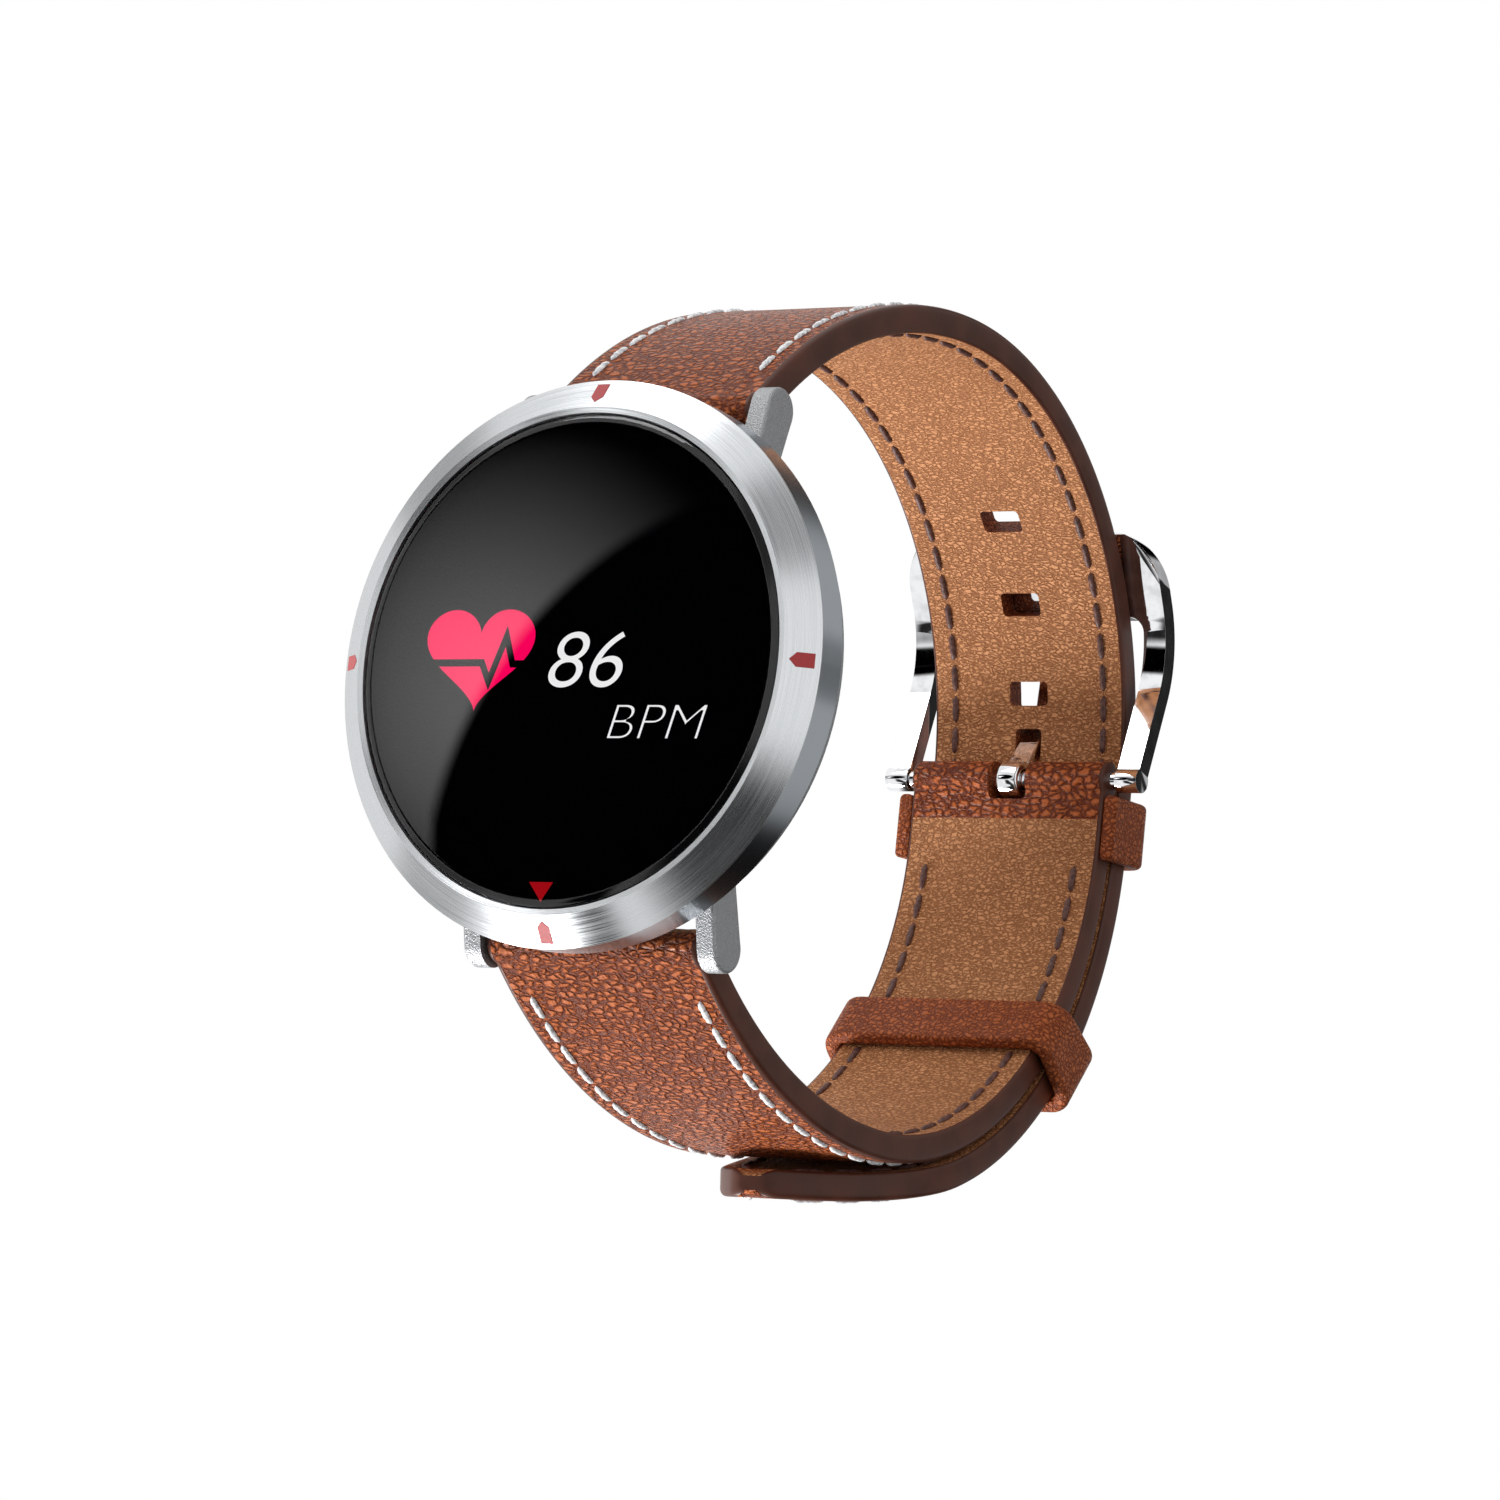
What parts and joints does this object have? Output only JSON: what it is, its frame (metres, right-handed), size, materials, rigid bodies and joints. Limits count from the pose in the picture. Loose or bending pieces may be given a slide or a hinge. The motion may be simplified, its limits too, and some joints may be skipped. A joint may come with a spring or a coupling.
{
  "type": "smartwatch",
  "caption": "Round touch-screen smartwatch with a steel bezel, four lugs and a buckled two-part leather strap with pin buckle and keepers.",
  "frame": {"origin": "centre of the sensor window's outer face on the case back", "axes": "+Y out of the case back into the wrist, -Y out of the dial, +Z to 12 o'clock, +X to 3 o'clock"},
  "size_m": [0.042, 0.069, 0.0691],
  "materials": {
    "blasted_steel": "bead-blasted, matt",
    "bezel_steel": "turned and brushed chamfer, polished side band",
    "marker_enamel": "red enamel",
    "crystal_glass": "polished, black border printed behind",
    "seal_rubber": "matt",
    "display_black": "black",
    "chassis_plastic": "moulded",
    "board_green": "solder mask",
    "chip_black": "moulded",
    "screw_steel": "machined",
    "flex_amber": "polyimide film",
    "battery_foil": "foil pouch",
    "motor_steel": "drawn",
    "weight_metal": "sintered",
    "led_lens": "clear lens",
    "back_plastic": "moulded black",
    "window_dark": "dark tinted",
    "contact_gold": "gold plated",
    "grain_leather": "pebbled grain, semi-gloss",
    "lining_leather": "fine-grain lining, matt",
    "buckle_chrome": "polished",
    "bar_steel": "ground"
  },
  "bodies": {
    "case": {"case_body": "blasted_steel", "bezel_ring": "bezel_steel", "bezel_markers": "marker_enamel", "crystal": "crystal_glass", "crystal_gasket": "seal_rubber", "touch_layer": "display_black", "display_panel": "display_black", "display_chassis": "chassis_plastic", "main_board": "board_green", "board_chips": "chip_black", "chassis_screws": "screw_steel", "display_flex": "flex_amber", "battery": "battery_foil", "motor_can": "motor_steel", "sensor_board": "board_green", "sensor_leds": "led_lens", "case_back": "back_plastic", "back_gasket": "seal_rubber", "sensor_window": "window_dark", "charging_contacts": "contact_gold", "back_screws": "screw_steel"},
    "motor_rotor": {"motor_shaft": "motor_steel", "motor_weight": "weight_metal"},
    "strap_loop": {"long_strap_outer": "grain_leather", "long_strap_lining": "lining_leather", "short_strap_outer": "grain_leather", "short_strap_lining": "lining_leather", "fixed_keeper": "grain_leather", "upper_bar_tube": "bar_steel", "upper_bar_spring": "bar_steel", "lower_bar_tube": "bar_steel", "lower_bar_spring": "bar_steel"},
    "free_keeper": {"free_keeper": "grain_leather"},
    "buckle_frame": {"buckle_frame": "buckle_chrome", "buckle_bar": "buckle_chrome"},
    "buckle_tongue": {"buckle_tongue": "buckle_chrome"},
    "upper_tip_left": {"upper_bar_tip_left": "bar_steel"},
    "upper_tip_right": {"upper_bar_tip_right": "bar_steel"},
    "lower_tip_left": {"lower_bar_tip_left": "bar_steel"},
    "lower_tip_right": {"lower_bar_tip_right": "bar_steel"}
  },
  "joints": [
    {"name": "strap_swing", "type": "hinge", "parent": "case", "child": "strap_loop", "pos_m": [0, -0.003, 0.01985], "axis": [1, 0, 0], "range_deg": [0, 90]},
    {"name": "buckle_swing", "type": "hinge", "parent": "strap_loop", "child": "buckle_frame", "pos_m": [0, 0.0525, 0.0019], "axis": [-1, 0, 0], "range_deg": [0, 2]},
    {"name": "tongue_swing", "type": "hinge", "parent": "buckle_frame", "child": "buckle_tongue", "pos_m": [0, 0.0525, 0.0019], "axis": [-1, 0, 0], "range_deg": [0, 2]},
    {"name": "free_keeper_slide", "type": "hinge", "parent": "strap_loop", "child": "free_keeper", "pos_m": [0, 0.0242, -0.0026], "axis": [1, 0, 0], "range_deg": [-35, 24]},
    {"name": "motor_spin", "type": "hinge", "parent": "case", "child": "motor_rotor", "pos_m": [0.0096, -0.00365, 0], "axis": [0, 0, 1], "continuous": true},
    {"name": "upper_tip_left_slide", "type": "slide", "parent": "strap_loop", "child": "upper_tip_left", "axis": [1, 0, 0], "range_m": [0, 0.00105], "stiffness_N_per_m": 200, "springref_m": -0.001},
    {"name": "upper_tip_right_slide", "type": "slide", "parent": "strap_loop", "child": "upper_tip_right", "axis": [-1, 0, 0], "range_m": [0, 0.00105], "stiffness_N_per_m": 200, "springref_m": -0.001},
    {"name": "lower_tip_left_slide", "type": "slide", "parent": "strap_loop", "child": "lower_tip_left", "axis": [-1, 0, 0], "range_m": [0, 0.00095]},
    {"name": "lower_tip_right_slide", "type": "slide", "parent": "strap_loop", "child": "lower_tip_right", "axis": [1, 0, 0], "range_m": [0, 0.00095]}
  ]
}
